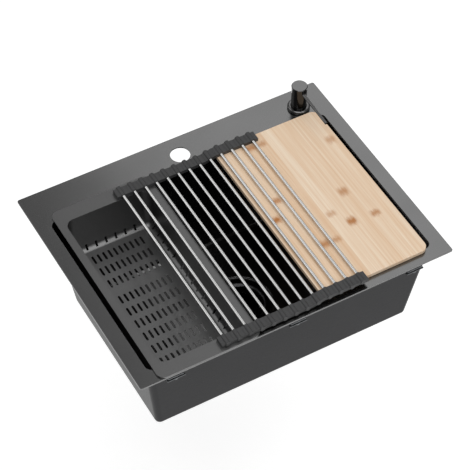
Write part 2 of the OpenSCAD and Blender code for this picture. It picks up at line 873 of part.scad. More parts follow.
module pump_head() {
    boss_wall = 2.5;
    boss_r = stem_r + boss_wall;
    boss_z = 0.45 * head_top_z;
    top_z = deck_t + head_top_z;
    rounding = 1;
    color(black) at_soap() difference() {
        rotate_extrude() {
            polygon([
                [head_r - head_wall, head_skirt_z],
                [head_r, head_skirt_z],
                [head_r, spout_z + deck_t - spout_d],
                [head_top_d / 2, top_z - rounding],
                [head_top_d / 2 - rounding, top_z],
                [0, top_z],
                [0, top_z - head_wall],
                [head_r - head_wall, top_z - head_wall]
            ]);
            translate([0, boss_z]) square([boss_r, top_z - head_wall - boss_z + cut / 2]);
        }
        translate([0, 0, boss_z - cut])
            cylinder(r = stem_r + fit_gap, h = stem_top_z + rest_gap - boss_z + cut);
        translate([0, 0, deck_t + spout_z]) rotate([90 + spout_fall, 0, 0])
            cylinder(r = spout_d / 2 + fit_gap, h = head_top_d);
        translate([0, 0, stem_top_z]) cylinder(r = spout_bore / 2, h = deck_t + spout_z - stem_top_z);
    }
}

module soap_spout() {
    straight_len = 4;
    root_len = head_r + straight_len;
    tip_at = head_r + spout_reach;
    color(black) at_soap() translate([0, 0, deck_t + spout_z]) rotate([90 + spout_fall, 0, 0])
        difference() {
            union() {
                translate([0, 0, rest_gap]) cylinder(d = spout_d, h = root_len - rest_gap);
                translate([0, 0, root_len])
                    cylinder(d1 = spout_d, d2 = spout_tip_d, h = tip_at - root_len);
            }
            translate([0, 0, -cut]) cylinder(d = spout_bore, h = tip_at + 2 * cut);
        }
}

deck_panel();
bowl();
sound_pads();
clip_brackets();
clip_claws();
clip_screws();
strainer_body();
strainer_gasket();
fibre_washer();
lock_nut();
basket();
basket_stopper();
basket_knob();
tailpiece();
tailpiece_washer();
coupling_nut();
colander();
bamboo_board();
soap_base();
soap_gasket();
soap_washer();
soap_nut();
soap_bottle();
pump_cylinder();
dip_tube();
pump_piston();
pump_spring();
pump_head();
soap_spout();
for (i = [1:rod_count]) {
    rack_rod(i);
    rack_caps(i);
}
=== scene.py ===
"""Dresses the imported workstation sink: finishes, rounded edges, threads, beads, studio and camera."""

import json
import logging
import math
from dataclasses import dataclass, field
from enum import Enum
from typing import Any

import bmesh
import bpy
from mathutils import Matrix, Vector

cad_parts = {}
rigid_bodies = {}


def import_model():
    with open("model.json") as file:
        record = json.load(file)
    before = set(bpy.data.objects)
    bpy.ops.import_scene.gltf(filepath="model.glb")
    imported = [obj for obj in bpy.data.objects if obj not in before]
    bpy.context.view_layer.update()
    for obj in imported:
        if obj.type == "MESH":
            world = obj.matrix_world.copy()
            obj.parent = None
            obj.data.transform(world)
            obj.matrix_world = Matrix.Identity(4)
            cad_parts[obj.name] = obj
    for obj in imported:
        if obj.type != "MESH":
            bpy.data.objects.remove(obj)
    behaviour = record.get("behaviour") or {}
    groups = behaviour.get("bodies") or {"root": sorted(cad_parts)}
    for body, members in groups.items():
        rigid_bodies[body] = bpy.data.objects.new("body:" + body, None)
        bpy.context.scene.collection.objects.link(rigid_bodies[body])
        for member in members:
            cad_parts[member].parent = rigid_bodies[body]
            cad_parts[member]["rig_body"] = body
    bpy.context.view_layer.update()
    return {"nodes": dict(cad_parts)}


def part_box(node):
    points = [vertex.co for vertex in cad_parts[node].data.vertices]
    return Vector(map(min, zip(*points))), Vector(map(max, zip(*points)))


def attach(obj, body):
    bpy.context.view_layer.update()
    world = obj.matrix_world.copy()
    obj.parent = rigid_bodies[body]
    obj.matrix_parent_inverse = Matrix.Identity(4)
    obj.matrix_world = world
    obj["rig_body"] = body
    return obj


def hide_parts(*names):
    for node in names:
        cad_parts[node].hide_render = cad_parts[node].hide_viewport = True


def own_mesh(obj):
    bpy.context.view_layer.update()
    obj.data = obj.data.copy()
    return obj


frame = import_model()

LOG = logging.getLogger("sink")
Tree = bpy.types.NodeTree
Node = bpy.types.Node
Socket = bpy.types.NodeSocket
Piece = bpy.types.Object
Triple = tuple[float, float, float]
MM = 0.001
MERGE_MM = 0.002
FLAT_DEGREES = 0.4


def linear(colour: str) -> tuple[float, float, float, float]:
    """Turns an sRGB hex colour into linear light.

    Args:
        colour: Six hex digits with a leading number sign.

    Returns:
        Red, green, blue and an alpha of one, as shader sockets take them.
    """
    parts = [int(colour[i : i + 2], 16) / 255 for i in (1, 3, 5)]
    red, green, blue = (c / 12.92 if c <= 0.04045 else ((c + 0.055) / 1.055) ** 2.4 for c in parts)
    return red, green, blue, 1.0


def feed(tree: Tree, node: Node, inputs: dict[Any, Any]) -> None:
    """Sets or links a node's inputs.

    Args:
        tree: The node tree.
        node: The node.
        inputs: For each input, by name or number, a value or the output that feeds it.
    """
    for key, value in inputs.items():
        if isinstance(value, Socket):
            tree.links.new(value, node.inputs[key])
        else:
            node.inputs[key].default_value = value


def add_node(
    tree: Tree,
    kind: str,
    settings: dict[str, Any] | None = None,
    inputs: dict[str | int, Any] | None = None,
) -> Node:
    """Adds a node with its settings and its links.

    Args:
        tree: The node tree that gets the node.
        kind: The node's type name.
        settings: Values for the node's own properties.
        inputs: What its inputs get, as feed takes it.

    Returns:
        The new node.
    """
    node = tree.nodes.new(kind)
    for key, value in (settings or {}).items():
        setattr(node, key, value)
    feed(tree, node, inputs or {})
    return node


def sums(tree: Tree, operation: str, *values: Any, clamp: bool = False) -> Socket:
    """Works out one number from others inside a tree.

    Args:
        tree: The node tree.
        operation: The Math node's operation.
        values: Numbers or outputs, in the order of the node's inputs.
        clamp: Whether the result is kept between nought and one.

    Returns:
        The output that carries the result.
    """
    inputs = dict(enumerate(values))
    return add_node(tree, "ShaderNodeMath", {"operation": operation, "use_clamp": clamp}, inputs).outputs[0]


# ---- finishes


@dataclass(frozen=True)
class Finish:
    """A surface finish: a name, and the nodes that give its look."""

    name: str

    def material(self) -> bpy.types.Material:
        """Makes the finish's material once, and hands out the same one after that."""
        made = bpy.data.materials.get(self.name)
        if made is None:
            made = bpy.data.materials.new(self.name)
            made.use_nodes = True
            tree = made.node_tree
            tree.nodes.clear()
            place = add_node(tree, "ShaderNodeTexCoord").outputs["Object"]
            shader = add_node(tree, "ShaderNodeBsdfPrincipled")
            add_node(tree, "ShaderNodeOutputMaterial", inputs={"Surface": shader.outputs["BSDF"]})
            self.paint(tree, place, shader)
        return made

    def paint(self, tree: Tree, place: Socket, shader: Node) -> None:
        """Builds the pattern nodes and joins them to the shader.

        Args:
            tree: The material's tree.
            place: The Object coordinates.
            shader: The Principled shader.
        """
        raise NotImplementedError

    def pattern(self, tree: Tree, place: Socket, grain: Triple, detail: float = 2.0) -> Socket:
        """Gives noise whose grains have a real size.

        Args:
            tree: The material's tree.
            place: The Object coordinates.
            grain: The grain's length along X, Y and Z in millimetres.
            detail: How much finer noise lies in it.

        Returns:
            The output with values round one half.
        """
        scale = tuple(1 / (side * MM) for side in grain)
        spread = add_node(tree, "ShaderNodeMapping", inputs={"Vector": place, "Scale": scale})
        noise = add_node(
            tree,
            "ShaderNodeTexNoise",
            inputs={"Vector": spread.outputs["Vector"], "Scale": 1.0, "Detail": detail, "Roughness": 0.5},
        )
        return noise.outputs["Fac"]

    def between(self, tree: Tree, factor: Socket, low: Any, high: Any) -> Socket:
        """Mixes two colours.

        Args:
            tree: The material's tree.
            factor: How much of the second there is.
            low: The first, as a hex colour or an output.
            high: The second, as a hex colour or an output.

        Returns:
            The mixed colour.
        """
        ends = [linear(c) if isinstance(c, str) else c for c in (low, high)]
        mix = add_node(
            tree, "ShaderNodeMix", {"data_type": "RGBA"}, {"Factor": factor, 6: ends[0], 7: ends[1]}
        )
        return mix.outputs[2]

    def roughen(self, tree: Tree, factor: Socket, low: float, high: float) -> Socket:
        """Turns noise into a roughness between two values.

        Args:
            tree: The material's tree.
            factor: The noise, whose useful part lies between 0.3 and 0.7.
            low: Roughness at the low end.
            high: Roughness at the high end.

        Returns:
            The roughness.
        """
        spread = add_node(
            tree,
            "ShaderNodeMapRange",
            inputs={"Value": factor, "From Min": 0.3, "From Max": 0.7, "To Min": low, "To Max": high},
        )
        return spread.outputs["Result"]

    def bump(self, tree: Tree, height: Socket, depth_mm: float) -> Socket:
        """Gives the normal of a rough surface.

        Args:
            tree: The material's tree.
            height: The height pattern, from nought to one.
            depth_mm: What one means in millimetres.

        Returns:
            The bumped normal.
        """
        node = add_node(
            tree, "ShaderNodeBump", inputs={"Height": height, "Distance": depth_mm * MM, "Strength": 1.0}
        )
        return node.outputs["Normal"]


@dataclass(frozen=True)
class CoatedSteel(Finish):
    """Stainless, satin ground, with a vapour-deposited coat: a dark metal with a soft, drawn-out shine.

    The grain and the cloud are in millimetres along X, Y and Z. The grinding lines are about 0.1 mm wide on
    real sheet, which is too fine to show, so they are drawn 0.5 mm wide. The grazing colour tints what is
    reflected at a low angle, and white leaves it as it is.
    """

    body: str
    edge: str
    smooth: float
    coarse: float
    grain: Triple = (26.0, 0.5, 0.5)
    depth_mm: float = 0.0001
    grazing: str = "#ffffff"
    cloud: Triple = (90.0, 90.0, 90.0)
    cloud_shade: str = "#ededed"
    edge_wear_and_sheen: float = 0.8

    def paint(self, tree: Tree, place: Socket, shader: Node) -> None:
        """The coat is a little uneven over a hand's width; rounded edges are lighter, partly worn coat and
        partly a painted highlight.
        """
        cloud = self.pattern(tree, place, self.cloud, 1.0)
        grain = self.pattern(tree, place, self.grain)
        worn = add_node(tree, "ShaderNodeAttribute", {"attribute_name": "rounded"}).outputs["Fac"]
        body = add_node(
            tree,
            "ShaderNodeMix",
            {"data_type": "RGBA", "blend_type": "MULTIPLY"},
            {"Factor": 1.0, 6: linear(self.body), 7: self.between(tree, cloud, self.cloud_shade, "#ffffff")},
        )
        # Rounded faces are painted lighter: partly worn coat, partly painted highlight.
        edge_wear_and_sheen = sums(tree, "MULTIPLY", worn, self.edge_wear_and_sheen)
        looks = {
            "Base Color": self.between(tree, edge_wear_and_sheen, body.outputs[2], self.edge),
            "Roughness": self.roughen(tree, grain, self.smooth, self.coarse),
            "Normal": self.bump(tree, grain, self.depth_mm),
            "Specular Tint": linear(self.grazing),
            "Metallic": 1.0,
        }
        feed(tree, shader, looks)


@dataclass(frozen=True)
class DrawnSteel(Finish):
    """Bright drawn stainless: nearly a mirror, with fine lines along its length.

    The lines and the cloud are in millimetres along X, Y and Z. Real drawing lines are finer than 0.1 mm,
    and are drawn coarser here so that they show.
    """

    body: str
    pale: str
    smooth: float
    coarse: float
    line: Triple = (0.4, 60.0, 0.4)
    cloud: Triple = (30.0, 30.0, 30.0)

    def paint(self, tree: Tree, place: Socket, shader: Node) -> None:
        """The drawing lines run along the rod and only change its shine."""
        lines = self.pattern(tree, place, self.line)
        cloud = self.pattern(tree, place, self.cloud, 1.0)
        looks = {
            "Base Color": self.between(tree, cloud, self.body, self.pale),
            "Roughness": self.roughen(tree, lines, self.smooth, self.coarse),
            "Metallic": 1.0,
        }
        feed(tree, shader, looks)


@dataclass(frozen=True)
class BlackChrome(Finish):
    """Polished brass under black chrome plate: a dark mirror with a faint haze."""

    body: str
    haze: str
    smooth: float
    coarse: float
    patches: Triple = (18.0, 18.0, 18.0)

    def paint(self, tree: Tree, place: Socket, shader: Node) -> None:
        """Handling leaves a haze in soft patches a few centimetres across."""
        patches = self.pattern(tree, place, self.patches, 3.0)
        looks = {
            "Base Color": self.between(tree, patches, self.body, self.haze),
            "Roughness": self.roughen(tree, patches, self.smooth, self.coarse),
            "Metallic": 1.0,
        }
        feed(tree, shader, looks)


@dataclass(frozen=True)
class ZincPlate(Finish):
    """Zinc-plated pressed steel: pale blue-grey metal in crystals a few millimetres wide."""

    body: str
    pale: str
    smooth: float = 0.46
    coarse: float = 0.6
    crystal_mm: float = 4.0

    def paint(self, tree: Tree, place: Socket, shader: Node) -> None:
        """Each crystal has its own tone and shine."""
        scale = 1 / (self.crystal_mm * MM)
        cells = add_node(tree, "ShaderNodeTexVoronoi", inputs={"Vector": place, "Scale": scale})
        tone = add_node(tree, "ShaderNodeSeparateColor", inputs={"Color": cells.outputs["Color"]}).outputs[0]
        looks = {
            "Base Color": self.between(tree, tone, self.body, self.pale),
            "Roughness": self.roughen(tree, tone, self.smooth, self.coarse),
            "Metallic": 1.0,
        }
        feed(tree, shader, looks)


@dataclass(frozen=True)
class Moulded(Finish):
    """A moulded rubber or plastic: one body colour, a fine mould texture and a low shine.

    Real grit is about 0.1 mm wide, too fine to show, and is drawn coarser here.
    """

    body: str
    worn: str
    smooth: float
    coarse: float
    grit_mm: float = 0.6
    depth_mm: float = 0.02
    glow: float = 0.0
    glow_mm: float = 4.0
    patches: Triple = (22.0, 22.0, 22.0)

    def paint(self, tree: Tree, place: Socket, shader: Node) -> None:
        """The mould's spark-eroded grit breaks the shine, and handling greys it in patches."""
        grit = self.pattern(tree, place, (self.grit_mm, self.grit_mm, self.grit_mm))
        patches = self.pattern(tree, place, self.patches, 3.0)
        looks = {
            "Base Color": self.between(tree, patches, self.body, self.worn),
            "Roughness": self.roughen(tree, grit, self.smooth, self.coarse),
            "Normal": self.bump(tree, grit, self.depth_mm),
            "Subsurface Weight": self.glow,
            "Subsurface Scale": self.glow_mm * MM,
        }
        feed(tree, shader, looks)


@dataclass(frozen=True)
class Knuckle:
    """One brown node mark across a bamboo strip, counted and measured from the board's front left corner."""

    strip: int
    along_mm: float
    height_mm: float
    strength: float


@dataclass(frozen=True)
class Bamboo(Finish):
    """Pale pressed bamboo, oiled: strips glued side by side, long fibres, and brown knuckles across them.

    Tones go from nought, the pale colour, to one, the warm one. The fibres, bands and wobble are in
    millimetres along X, Y and Z. A seam is where a point lies further than seam_from off its strip's middle,
    in strip widths.
    """

    pale: str = "#f5e2ca"
    warm: str = "#e0b992"
    fibre: str = "#cfa67b"
    knuckle: str = "#b27236"
    left_mm: float = 48.5
    front_mm: float = -206.0
    strip_mm: float = 21.9
    first_strip_mm: float = 4.5
    rack_shade_strips: float = 3.5
    rack_shade_tone: float = 0.12
    own_tone: float = 0.3
    least_tone: float = 0.04
    bands: Triple = (4.0, 220.0, 4.0)
    band_tone: float = 1.3
    band_start: float = -0.5
    fibres: Triple = (0.9, 60.0, 0.9)
    fibre_tone: float = 0.26
    fibre_depth_mm: float = 0.03
    smooth: float = 0.42
    coarse: float = 0.58
    seam_from: float = 0.485
    seam_tone: float = 0.1
    wobble: Triple = (2.5, 6.0, 2.5)
    ragged_mm: float = 10.0
    mark_sides: float = 4.0
    marks: tuple[Knuckle, ...] = (
        Knuckle(0, 174, 12, 1.0),
        Knuckle(1, 211, 12, 0.8),
        Knuckle(2, 91, 13, 0.8),
        Knuckle(2, 337, 12, 0.8),
        Knuckle(3, 90, 10, 0.6),
        Knuckle(3, 336, 10, 0.6),
        Knuckle(4, 142, 11, 0.5),
        Knuckle(5, 112, 14, 0.95),
        Knuckle(6, 175, 15, 0.7),
        Knuckle(7, 108, 11, 0.75),
        Knuckle(8, 288, 14, 0.55),
    )

    def paint(self, tree: Tree, place: Socket, shader: Node) -> None:
        """Every strip has its own tone, in streaks a few millimetres wide, knuckles cross whole strips, and
        the strips under the rack get painted shade.
        """
        axes = add_node(tree, "ShaderNodeSeparateXYZ", inputs={"Vector": place}).outputs
        across = sums(tree, "MULTIPLY_ADD", axes["X"], 1 / MM, -self.left_mm - self.first_strip_mm)
        across = sums(tree, "DIVIDE", across, self.strip_mm)
        number = sums(tree, "FLOOR", across)
        inside = sums(tree, "FRACT", across)
        along = sums(tree, "MULTIPLY_ADD", axes["Y"], 1 / MM, -self.front_mm)
        own = add_node(tree, "ShaderNodeTexWhiteNoise", {"noise_dimensions": "1D"}, {"W": number})
        fibres = self.pattern(tree, place, self.fibres, 3.0)
        bands = self.pattern(tree, place, self.bands)
        # The strips under the rack are painted warmer and darker: painted shade under the rods.
        warm = sums(tree, "LESS_THAN", number, self.rack_shade_strips)
        tone = sums(tree, "MULTIPLY_ADD", own.outputs["Value"], self.own_tone, self.least_tone)
        tone = sums(tree, "MULTIPLY_ADD", warm, self.rack_shade_tone, tone)
        band = sums(tree, "MULTIPLY_ADD", bands, self.band_tone, self.band_start)
        tone = sums(tree, "ADD", tone, band, clamp=True)
        colour = self.between(tree, tone, self.pale, self.warm)
        streak = self.roughen(tree, fibres, 0.0, self.fibre_tone)
        colour = self.between(tree, streak, colour, self.fibre)
        colour = self.between(tree, self.knuckles(tree, place, number, inside, along), colour, self.knuckle)
        off_middle = sums(tree, "ABSOLUTE", sums(tree, "SUBTRACT", inside, 0.5))
        seam = sums(tree, "MULTIPLY", sums(tree, "GREATER_THAN", off_middle, self.seam_from), self.seam_tone)
        looks = {
            "Base Color": self.between(tree, seam, colour, self.knuckle),
            "Roughness": self.roughen(tree, fibres, self.smooth, self.coarse),
            "Normal": self.bump(tree, fibres, self.fibre_depth_mm),
        }
        feed(tree, shader, looks)

    def knuckles(self, tree: Tree, place: Socket, number: Socket, inside: Socket, along: Socket) -> Socket:
        """Gives the strength of the brown knuckle marks.

        Args:
            tree: The material's tree.
            place: The Object coordinates.
            number: Which strip a point is in.
            inside: How far across its strip it is, from nought to one.
            along: Its distance from the board's front edge in millimetres.

        Returns:
            The strength, from nought to one.
        """
        wobble = self.pattern(tree, place, self.wobble)
        shift = sums(tree, "MULTIPLY_ADD", wobble, self.ragged_mm, -self.ragged_mm / 2)
        ragged = sums(tree, "ADD", along, shift)
        middle = sums(tree, "ABSOLUTE", sums(tree, "SUBTRACT", inside, 0.5))
        side = sums(tree, "MULTIPLY", sums(tree, "SUBTRACT", 0.5, middle), self.mark_sides, clamp=True)
        total: Any = 0.0
        for mark in self.marks:
            away = sums(tree, "ABSOLUTE", sums(tree, "SUBTRACT", ragged, mark.along_mm))
            core = add_node(
                tree,
                "ShaderNodeMapRange",
                {"interpolation_type": "SMOOTHSTEP"},
                {"Value": away, "From Max": mark.height_mm, "To Min": mark.strength, "To Max": 0.0},
            ).outputs["Result"]
            here = sums(tree, "MULTIPLY", core, sums(tree, "COMPARE", number, float(mark.strip), 0.5))
            total = sums(tree, "MAXIMUM", total, here)
        return sums(tree, "MULTIPLY", total, side)


class Palette(Enum):
    """The finishes of this sink, by what they cover."""

    DECK = CoatedSteel("gunmetal coat on satin stainless", "#7c7c7c", "#7f7f7f", smooth=0.2, coarse=0.23)
    TRAY = CoatedSteel("gunmetal coat on pressed tray", "#787878", "#8c8c8c", smooth=0.37, coarse=0.41)
    BASIN = CoatedSteel("gunmetal coat in the basin", "#6c6c6c", "#a0a0a0", smooth=0.2, coarse=0.26)
    # The bowl's outer walls: the same gunmetal coat made darker, a painted shade.
    SHADED_OUTER = CoatedSteel(
        "gunmetal coat on drawn bowl, darkened as painted shade",
        "#383839",
        "#4a4a4b",
        smooth=0.26,
        coarse=0.34,
        depth_mm=0.0015,
        grazing="#d4d4d4",
    )
    # The drain in the bowl's floor: the pipe's coat made darker, a painted shade.
    SHADED_DRAIN = CoatedSteel(
        "gunmetal coat on turned steel, darkened as painted shade", "#3c3c3d", "#6c6c6d", smooth=0.16, coarse=0.22, grain=(0.5, 0.5, 8.0)
    )
    PIPE = CoatedSteel(
        "gunmetal coat on drawn pipe", "#6c6c6d", "#b5b5b6", smooth=0.16, coarse=0.22, grain=(0.5, 0.5, 8.0)
    )
    ROD = DrawnSteel("bright drawn stainless", "#d6d6d6", "#e6e6e4", smooth=0.16, coarse=0.22)
    SPRING = DrawnSteel("spring wire", "#b9babc", "#dedede", smooth=0.22, coarse=0.3, line=(0.3, 0.3, 3.0))
    SOAP = BlackChrome("black chrome plate", "#404041", "#4c4b4a", smooth=0.06, coarse=0.12)
    # The base ring and spout: the head's black chrome made lighter, a painted highlight.
    LIT_TRIM = BlackChrome("black chrome plate on turned trim", "#5f5f60", "#6a6968", smooth=0.08, coarse=0.14)
    ZINC = ZincPlate("zinc plate", "#6a6c6e", "#828486")
    SILICONE = Moulded("dark grey silicone", "#353535", "#3e3e3f", smooth=0.42, coarse=0.54)
    RUBBER = Moulded(
        "black rubber", "#1b1b1c", "#262627", smooth=0.62, coarse=0.78, grit_mm=1.2, depth_mm=0.05
    )
    FIBRE = Moulded(
        "pressed fibre", "#7d3a2b", "#8f4a36", smooth=0.7, coarse=0.85, grit_mm=0.8, depth_mm=0.04
    )
    PLASTIC = Moulded(
        "milky polypropylene",
        "#e3e3de",
        "#d8d8d1",
        smooth=0.36,
        coarse=0.46,
        grit_mm=1.0,
        depth_mm=0.01,
        glow=0.25,
    )
    BAMBOO = Bamboo("oiled pressed bamboo")


# ---- making pieces


def body_of(node: str) -> str:
    """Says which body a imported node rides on."""
    return frame["nodes"][node]["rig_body"]


def new_object(name: str, data: bpy.types.ID) -> Piece:
    """Puts a mesh, a light or a camera into the scene as an object at the origin."""
    made = bpy.data.objects.new(name, data)
    bpy.context.scene.collection.objects.link(made)
    return made


def settled(piece: Piece) -> Piece:
    """Turns a piece's modifiers into a plain mesh.

    Args:
        piece: The piece, whose modifiers are set.

    Returns:
        The same piece without modifiers.
    """
    graph = bpy.context.evaluated_depsgraph_get()
    mesh = bpy.data.meshes.new_from_object(
        piece.evaluated_get(graph), preserve_all_data_layers=True, depsgraph=graph
    )
    piece.modifiers.clear()
    piece.data = mesh
    mesh.name = piece.name
    return piece


def merged_copy(node: str) -> bmesh.types.BMesh:
    """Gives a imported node's solids as one closed mesh with whole flat faces.

    Args:
        node: The node's name.

    Returns:
        A new bmesh, which the caller frees.
    """
    source = frame["nodes"][node].data
    loose = bpy.data.meshes.new(node + "_loose")
    loose.from_pydata([v.co[:] for v in source.vertices], [], [p.vertices[:] for p in source.polygons])
    shape = bmesh.new()
    shape.from_mesh(loose)
    bpy.data.meshes.remove(loose)
    bmesh.ops.remove_doubles(shape, verts=shape.verts, dist=MERGE_MM * MM)
    bmesh.ops.dissolve_limit(
        shape, angle_limit=math.radians(FLAT_DEGREES), verts=shape.verts, edges=shape.edges, delimit=set()
    )
    return shape


def rounded(
    name: str,
    node: str,
    finish: Palette,
    slot: str,
    edge_mm: float,
    steps: int = 2,
    sharp: float = 32.0,
) -> Piece:
    """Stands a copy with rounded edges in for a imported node.

    Args:
        name: The new piece's name.
        node: The node that it stands for.
        finish: The finish that it gets.
        slot: The record's material slot.
        edge_mm: Radius of its edges in millimetres.
        steps: Faces across each rounded edge.
        sharp: Least angle in degrees between the faces of an edge that is rounded.

    Returns:
        The piece, riding on the node's body.
    """
    shape = merged_copy(node)
    limit = math.radians(sharp)
    layer = shape.faces.layers.float.new("rounded")
    edges = [e for e in shape.edges if len(e.link_faces) == 2 and e.calc_face_angle(0) > limit]
    made = bmesh.ops.bevel(
        shape,
        geom=edges,
        offset=edge_mm * MM,
        offset_type="OFFSET",
        segments=steps,
        profile=0.5,
        affect="EDGES",
        clamp_overlap=True,
    )
    # Marks the rounded faces, which the coated finishes paint lighter: worn coat and painted highlight.
    for face in made["faces"]:
        face[layer] = 1.0
    mesh = bpy.data.meshes.new(name)
    shape.to_mesh(mesh)
    shape.free()
    mesh.shade_smooth()
    mesh.set_sharp_from_angle(angle=limit)
    piece = new_object(name, mesh)
    mesh.materials.append(finish.value.material())
    even = piece.modifiers.new("even", "WEIGHTED_NORMAL")
    even.keep_sharp = True
    settled(piece)
    return mounted(piece, body_of(node), slot, node)


def mounted(piece: Piece, body: str, slot: str, *nodes: str) -> Piece:
    """Joins a finished piece to its body.

    Args:
        piece: The piece.
        body: The body that carries it.
        slot: The record's material slot.
        nodes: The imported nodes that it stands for.

    Returns:
        The piece.
    """
    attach(piece, body)
    if nodes:
        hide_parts(*nodes)
    LOG.info("%s rides on %s, %d faces", piece.name, body, len(piece.data.polygons))
    return piece


def painted(finish: Palette, *nodes: str) -> None:
    """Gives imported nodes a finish.

    Args:
        finish: The finish.
        nodes: The nodes that keep their own shape.
    """
    for node in nodes:
        slots = frame["nodes"][node].data.materials
        slots.clear()
        slots.append(finish.value.material())
        LOG.info("%s keeps its shape, in %s", node, finish.value.name)


def centred(low: Vector, high: Vector, height: float) -> Triple:
    """Gives the point at a height on the upright axis through a box's middle."""
    return (low.x + high.x) / 2, (low.y + high.y) / 2, height


def solids_of(node: str) -> list[tuple[Vector, Vector]]:
    """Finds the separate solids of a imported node.

    Args:
        node: The node's name.

    Returns:
        The lowest and highest corner of each, from left to right.
    """
    shape = merged_copy(node)
    left = set(shape.verts)
    boxes = []
    while left:
        queue = [left.pop()]
        found = list(queue)
        while queue:
            for edge in queue.pop().link_edges:
                for vertex in edge.verts:
                    if vertex in left:
                        left.remove(vertex)
                        queue.append(vertex)
                        found.append(vertex)
        low = Vector(min(v.co[i] for v in found) for i in range(3))
        high = Vector(max(v.co[i] for v in found) for i in range(3))
        boxes.append((low, high))
    shape.free()
    return sorted(boxes, key=lambda box: (round(box[0].x, 4), box[0].y))


# ---- geometry trees


@dataclass
class GrowingTree:
    """A Geometry Nodes tree with named inputs, which makes plain pieces.

    Every tree also asks for a Place, which its shape is moved to, and a Finish.
    """

    name: str
    numbers: tuple[str, ...]
    counts: tuple[str, ...] = ()
    tree: Tree = field(init=False)
    entry: Node = field(init=False)

    def __post_init__(self) -> None:
        """Makes the tree, its inputs and its exit, and lets the kind of tree fill it."""
        self.tree = bpy.data.node_groups.new(self.name, "GeometryNodeTree")
        own = {**dict.fromkeys(self.numbers, "Float"), **dict.fromkeys(self.counts, "Int")}
        for label, kind in {"Place": "Vector", **own, "Finish": "Material"}.items():
            self.tree.interface.new_socket(name=label, in_out="INPUT", socket_type="NodeSocket" + kind)
        self.tree.interface.new_socket(name="Geometry", in_out="OUTPUT", socket_type="NodeSocketGeometry")
        self.entry = add_node(self.tree, "NodeGroupInput")
        placed = add_node(
            self.tree,
            "GeometryNodeTransform",
            inputs={"Geometry": self.grow(), "Translation": self.asked("Place")},
        )
        real = add_node(self.tree, "GeometryNodeRealizeInstances", inputs={"Geometry": placed.outputs[0]})
        smooth = add_node(self.tree, "GeometryNodeSetShadeSmooth", inputs={"Geometry": real.outputs[0]})
        coloured = add_node(
            self.tree,
            "GeometryNodeSetMaterial",
            inputs={"Geometry": smooth.outputs[0], "Material": self.entry.outputs["Finish"]},
        )
        add_node(self.tree, "NodeGroupOutput", inputs={"Geometry": coloured.outputs[0]})

    def grow(self) -> Socket:
        """Builds the nodes that make the shape round the origin, and returns their geometry."""
        raise NotImplementedError

    def asked(self, label: str) -> Socket:
        """Gives one of the tree's inputs."""
        return self.entry.outputs[label]

    def make(self, name: str, finish: Palette, **values: Any) -> Piece:
        """Makes one plain piece.

        Args:
            name: The piece's name.
            finish: Its finish.
            values: A value for the Place and for each number and count.

        Returns:
            The piece, at the origin and without modifiers.
        """
        piece = new_object(name, bpy.data.meshes.new(name))
        modifier = piece.modifiers.new(self.name, "NODES")
        modifier.node_group = self.tree
        asked = {**values, "Finish": finish.value.material()}
        for item in self.tree.interface.items_tree:
            if item.in_out == "INPUT":
                modifier[item.identifier] = asked[item.name]
        return settled(piece)


@dataclass
class HelixTree(GrowingTree):
    """A round or pointed wire wound up a cylinder: a thread's ridge or a coil spring."""

    name: str = "helix"
    numbers: tuple[str, ...] = ("Radius", "Rise", "Turns", "Wire")
    counts: tuple[str, ...] = ("Sides", "Steps")

    def grow(self) -> Socket:
        """Sweeps the wire's section along a spiral of even radius."""
        spiral = add_node(
            self.tree,
            "GeometryNodeCurveSpiral",
            inputs={
                "Resolution": self.asked("Steps"),
                "Rotations": self.asked("Turns"),
                "Start Radius": self.asked("Radius"),
                "End Radius": self.asked("Radius"),
                "Height": self.asked("Rise"),
            },
        )
        section = add_node(
            self.tree,
            "GeometryNodeCurvePrimitiveCircle",
            inputs={"Resolution": self.asked("Sides"), "Radius": self.asked("Wire")},
        )
        swept = add_node(
            self.tree,
            "GeometryNodeCurveToMesh",
            inputs={"Curve": spiral.outputs[0], "Profile Curve": section.outputs[0], "Fill Caps": True},
        )
        return swept.outputs[0]


@dataclass
class RibTree(GrowingTree):
    """Upright half-round ribs round a nut, for the hand to grip."""

    name: str = "grip ribs"
    numbers: tuple[str, ...] = ("Radius", "Height", "Rib")
    counts: tuple[str, ...] = ("Count",)
    rib_sides: int = 10

    def grow(self) -> Socket:
        """Sets a rib on each point of a circle."""
        circle = add_node(
            self.tree,
            "GeometryNodeMeshCircle",
            inputs={"Vertices": self.asked("Count"), "Radius": self.asked("Radius")},
        )
        rib = add_node(
            self.tree,
            "GeometryNodeMeshCylinder",
            inputs={
                "Vertices": self.rib_sides,
                "Radius": self.asked("Rib"),
                "Depth": self.asked("Height"),
            },
        )
        set_out = add_node(
            self.tree,
            "GeometryNodeInstanceOnPoints",
            inputs={"Points": circle.outputs[0], "Instance": rib.outputs[0]},
        )
        return set_out.outputs[0]


